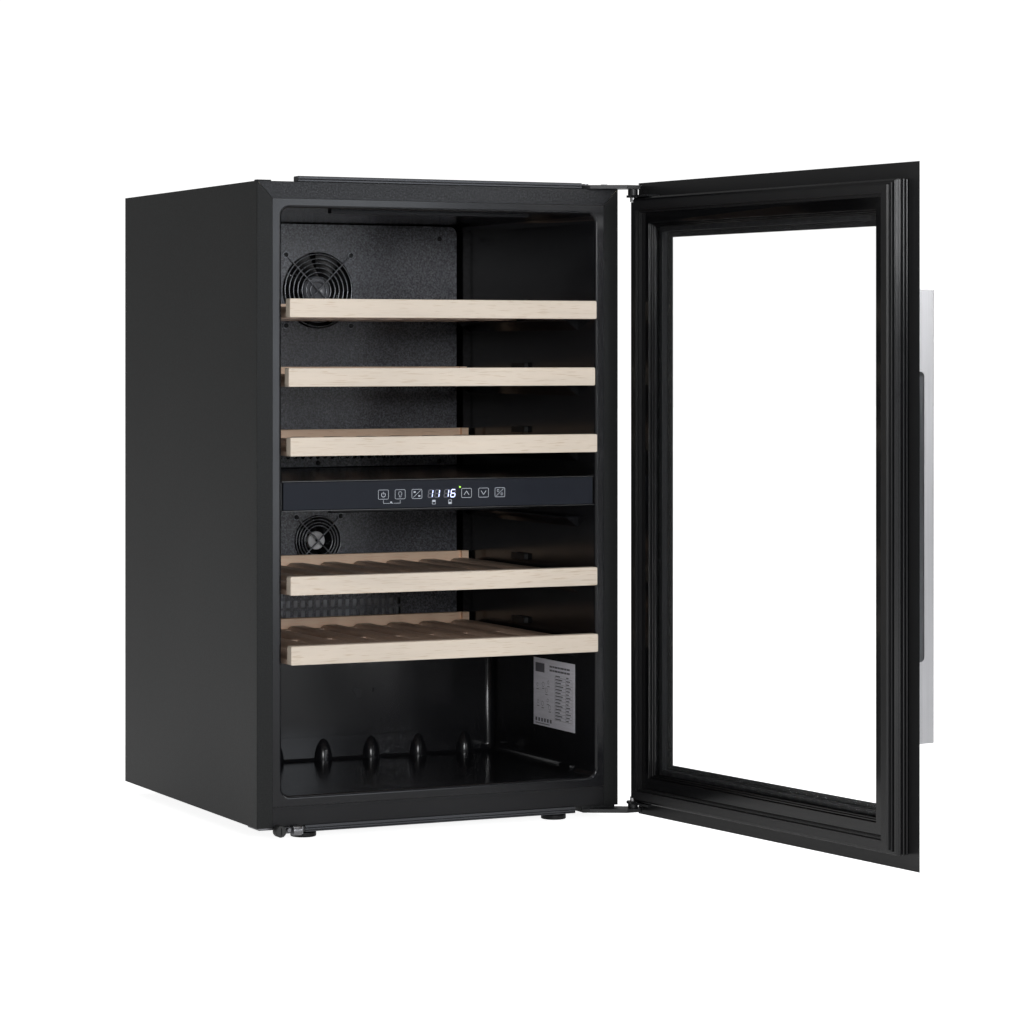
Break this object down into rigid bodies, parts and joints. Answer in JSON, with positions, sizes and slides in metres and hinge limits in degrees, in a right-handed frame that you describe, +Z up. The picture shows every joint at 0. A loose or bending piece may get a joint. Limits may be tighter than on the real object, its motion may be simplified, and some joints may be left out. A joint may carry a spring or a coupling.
{
  "type": "wine cooler",
  "caption": "Two-zone built-in wine cooler: black cabinet, hinged glass door with a side handle, pull-out beech shelves, central touch panel and fan-cooled compartments.",
  "frame": {"origin": "on the floor, under the middle of the cabinet's front plane", "axes": "+Z up, +Y from the cabinet's front to its back, +X to the right seen from the front; the door is hinged on the right and stands 97 degrees open"},
  "size_m": [0.6738, 1.1129, 0.89],
  "materials": {
    "cabinet_paint": "fine textured black paint",
    "trim_black": "satin black",
    "foam": "rigid polyurethane foam, hidden inside the walls",
    "liner": "semi-gloss black polystyrene",
    "clip_black": "satin black",
    "divider_black": "satin black",
    "control_glass": "black panel with lit figures behind it",
    "circuit_board": "circuit board with displays",
    "light_diffuser": "milky diffuser",
    "cover_paint": "satin black sheet",
    "evaporator_aluminium": "roll-bonded plate",
    "fan_black": "moulded black",
    "guard_wire": "black coated wire",
    "impeller_upper": "moulded black",
    "impeller_lower": "moulded grey",
    "screw_black": "black pan-head screws",
    "label_silver": "silver film label",
    "hinge_black": "black coated steel",
    "pin_steel": "turned steel",
    "screw_steel": "dark zinc-plated screws",
    "catch_steel": "zinc-plated steel",
    "catch_black": "moulded black",
    "outer_glass": "tinted toughened glass with a printed black border",
    "inner_glass": "clear coated glass",
    "spacer_black": "dark perforated spacer",
    "door_profile": "extruded black profile",
    "gasket_rubber": "soft black magnetic seal",
    "handle_steel": "finely brushed stainless steel, folded channel",
    "beech_board": "clear-finished beech",
    "beech_slats": "clear-finished beech",
    "foot_black": "black disc on a threaded stem",
    "compressor_black": "black enamel",
    "condenser_black": "black painted tube",
    "tray_black": "moulded black",
    "inlet_black": "moulded black socket"
  },
  "bodies": {
    "cabinet": {"side_panel_left": "cabinet_paint", "side_panel_right": "cabinet_paint", "top_panel": "cabinet_paint", "back_panel": "cabinet_paint", "base_pan": "cabinet_paint", "bottom_fascia": "cabinet_paint", "compartment_cover": "cabinet_paint", "top_trim_bar": "trim_black", "bottom_trim_bar": "trim_black", "insulation_foam": "foam", "inner_liner": "liner", "shelf_stops": "clip_black", "zone_divider": "divider_black", "control_glass": "control_glass", "control_board": "circuit_board", "light_bars": "light_diffuser", "evaporator_cover_upper": "cover_paint", "evaporator_upper": "evaporator_aluminium", "fan_frame_upper": "fan_black", "fan_guard_upper": "guard_wire", "evaporator_cover_lower": "cover_paint", "evaporator_lower": "evaporator_aluminium", "fan_frame_lower": "fan_black", "fan_guard_lower": "guard_wire", "cover_screws": "screw_black", "rating_label": "label_silver", "hinge_plate_top": "hinge_black", "hinge_plate_bottom": "hinge_black", "hinge_pins": "pin_steel", "hinge_screws": "screw_steel", "door_catch_bracket": "catch_steel", "door_catch_adjuster": "catch_black", "compressor": "compressor_black", "condenser": "condenser_black", "drip_tray": "tray_black", "mains_inlet": "inlet_black"},
    "door": {"door_glass": "outer_glass", "door_inner_pane": "inner_glass", "glass_spacer": "spacer_black", "door_frame": "door_profile", "door_gasket": "gasket_rubber", "door_handle": "handle_steel", "door_bracket_top": "hinge_black", "door_bracket_bottom": "hinge_black"},
    "shelf_1": {"shelf_1_front_board": "beech_board", "shelf_1_frame": "beech_slats"},
    "shelf_2": {"shelf_2_front_board": "beech_board", "shelf_2_frame": "beech_slats"},
    "shelf_3": {"shelf_3_front_board": "beech_board", "shelf_3_frame": "beech_slats"},
    "shelf_4": {"shelf_4_front_board": "beech_board", "shelf_4_frame": "beech_slats"},
    "shelf_5": {"shelf_5_front_board": "beech_board", "shelf_5_frame": "beech_slats"},
    "fan_upper": {"fan_impeller_upper": "impeller_upper"},
    "fan_lower": {"fan_impeller_lower": "impeller_lower"},
    "foot_front_left": {"foot_front_left": "foot_black"},
    "foot_front_right": {"foot_front_right": "foot_black"},
    "foot_rear_left": {"foot_rear_left": "foot_black"},
    "foot_rear_right": {"foot_rear_right": "foot_black"}
  },
  "joints": [
    {"name": "door_hinge", "type": "hinge", "parent": "cabinet", "child": "door", "pos_m": [0.287, -0.017, 0.445], "axis": [0, 0, 1], "range_deg": [-97, 15]},
    {"name": "shelf_1_slide", "type": "slide", "parent": "cabinet", "child": "shelf_1", "axis": [0, -1, 0], "range_m": [-0.0085, 0.14]},
    {"name": "shelf_2_slide", "type": "slide", "parent": "cabinet", "child": "shelf_2", "axis": [0, -1, 0], "range_m": [-0.0045, 0.14]},
    {"name": "shelf_3_slide", "type": "slide", "parent": "cabinet", "child": "shelf_3", "axis": [0, -1, 0], "range_m": [-0.0105, 0.14]},
    {"name": "shelf_4_slide", "type": "slide", "parent": "cabinet", "child": "shelf_4", "axis": [0, -1, 0], "range_m": [-0.011, 0.14]},
    {"name": "shelf_5_slide", "type": "slide", "parent": "cabinet", "child": "shelf_5", "axis": [0, -1, 0], "range_m": [-0.013, 0.14]},
    {"name": "fan_upper_spin", "type": "hinge", "parent": "cabinet", "child": "fan_upper", "pos_m": [0, 0.44, 0.7445], "axis": [0, -1, 0], "continuous": true},
    {"name": "fan_lower_spin", "type": "hinge", "parent": "cabinet", "child": "fan_lower", "pos_m": [0, 0.44, 0.372], "axis": [0, -1, 0], "continuous": true},
    {"name": "foot_front_left_screw", "type": "slide", "parent": "cabinet", "child": "foot_front_left", "axis": [0, 0, -1], "range_m": [0, 0.012]},
    {"name": "foot_front_right_screw", "type": "slide", "parent": "cabinet", "child": "foot_front_right", "axis": [0, 0, -1], "range_m": [0, 0.012]},
    {"name": "foot_rear_left_screw", "type": "slide", "parent": "cabinet", "child": "foot_rear_left", "axis": [0, 0, -1], "range_m": [0, 0.012]},
    {"name": "foot_rear_right_screw", "type": "slide", "parent": "cabinet", "child": "foot_rear_right", "axis": [0, 0, -1], "range_m": [0, 0.012]}
  ]
}
